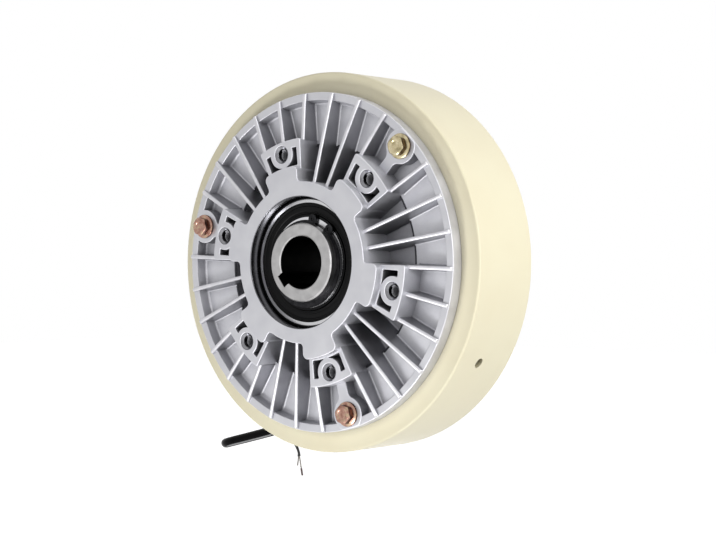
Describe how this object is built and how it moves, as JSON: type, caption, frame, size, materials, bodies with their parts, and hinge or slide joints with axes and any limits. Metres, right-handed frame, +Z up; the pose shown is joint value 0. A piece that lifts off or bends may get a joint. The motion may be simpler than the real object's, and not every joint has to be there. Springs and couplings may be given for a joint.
{
  "type": "magnetic powder brake",
  "caption": "Round magnetic powder brake with a keyed hollow shaft, finned end brackets with tapped pads, a painted field yoke and a short two-wire lead.",
  "frame": {"origin": "on the shaft axis, at the middle of the field yoke's width", "axes": "+Y along the shaft towards the rear, +Z up as in the picture, +X to the right seen from the front"},
  "size_m": [0.2201, 0.093, 0.2425],
  "materials": {
    "cream_paint": "satin cream paint over turned steel",
    "cast_aluminium": "fine cast skin, machined on the hub face and pads",
    "yellow_zinc": "yellow passivated zinc plating",
    "turned_steel": "fine turned steel",
    "bearing_steel": "ground bearing steel",
    "ball_steel": "polished bearing balls",
    "black_spring_steel": "blackened spring steel",
    "seal_rubber": "black nitrile rubber",
    "grommet_rubber": "black rubber",
    "sleeve_plastic": "glossy black plastic sleeve",
    "wire_plastic": "dark wire insulation",
    "tinned_copper": "tinned copper strands",
    "copper_winding": "enamelled copper wire",
    "bobbin_plastic": "moulded nylon",
    "stainless_ring": "non-magnetic stainless steel",
    "iron_powder": "loose alloy powder",
    "drum_iron": "machined soft iron",
    "screw_steel": "black oxide steel",
    "cage_brass": "machined brass",
    "felt": "pressed wool felt"
  },
  "bodies": {
    "stator": {"field_yoke": "cream_paint", "rear_pole_ring": "cream_paint", "pole_gap_ring": "stainless_ring", "coil_bobbin": "bobbin_plastic", "coil_winding": "copper_winding", "magnetic_powder": "iron_powder", "lead_grommet": "grommet_rubber", "lead_sleeve": "sleeve_plastic", "lead_wire_a": "wire_plastic", "lead_wire_b": "wire_plastic", "lead_wire_tips": "tinned_copper", "front_bracket": "cast_aluminium", "front_bracket_bolts": "yellow_zinc", "front_felt_seal": "felt", "front_bearing_outer_ring": "bearing_steel", "front_bearing_seals": "seal_rubber", "rear_bracket": "cast_aluminium", "rear_bracket_bolts": "yellow_zinc", "rear_felt_seal": "felt", "rear_bearing_outer_ring": "bearing_steel", "rear_bearing_seals": "seal_rubber"},
    "rotor": {"hollow_shaft": "turned_steel", "rotor_drum": "drum_iron", "rotor_screws": "screw_steel", "front_spacer_ring": "turned_steel", "front_circlip": "black_spring_steel", "front_bearing_inner_ring": "bearing_steel", "rear_spacer_ring": "turned_steel", "rear_circlip": "black_spring_steel", "rear_bearing_inner_ring": "bearing_steel"},
    "front_ball_set": {"front_bearing_balls": "ball_steel", "front_bearing_cage": "cage_brass"},
    "rear_ball_set": {"rear_bearing_balls": "ball_steel", "rear_bearing_cage": "cage_brass"}
  },
  "joints": [
    {"name": "shaft_spin", "type": "hinge", "parent": "stator", "child": "rotor", "pos_m": [0, 0, 0], "axis": [0, 1, 0], "continuous": true},
    {"name": "front_cage_spin", "type": "hinge", "parent": "stator", "child": "front_ball_set", "pos_m": [0, 0, 0], "axis": [0, 1, 0], "continuous": true},
    {"name": "rear_cage_spin", "type": "hinge", "parent": "stator", "child": "rear_ball_set", "pos_m": [0, 0, 0], "axis": [0, 1, 0], "continuous": true}
  ],
  "couplings": [
    {"joint": "front_cage_spin", "follows": "shaft_spin", "ratio": 0.4275},
    {"joint": "rear_cage_spin", "follows": "shaft_spin", "ratio": 0.4275}
  ]
}
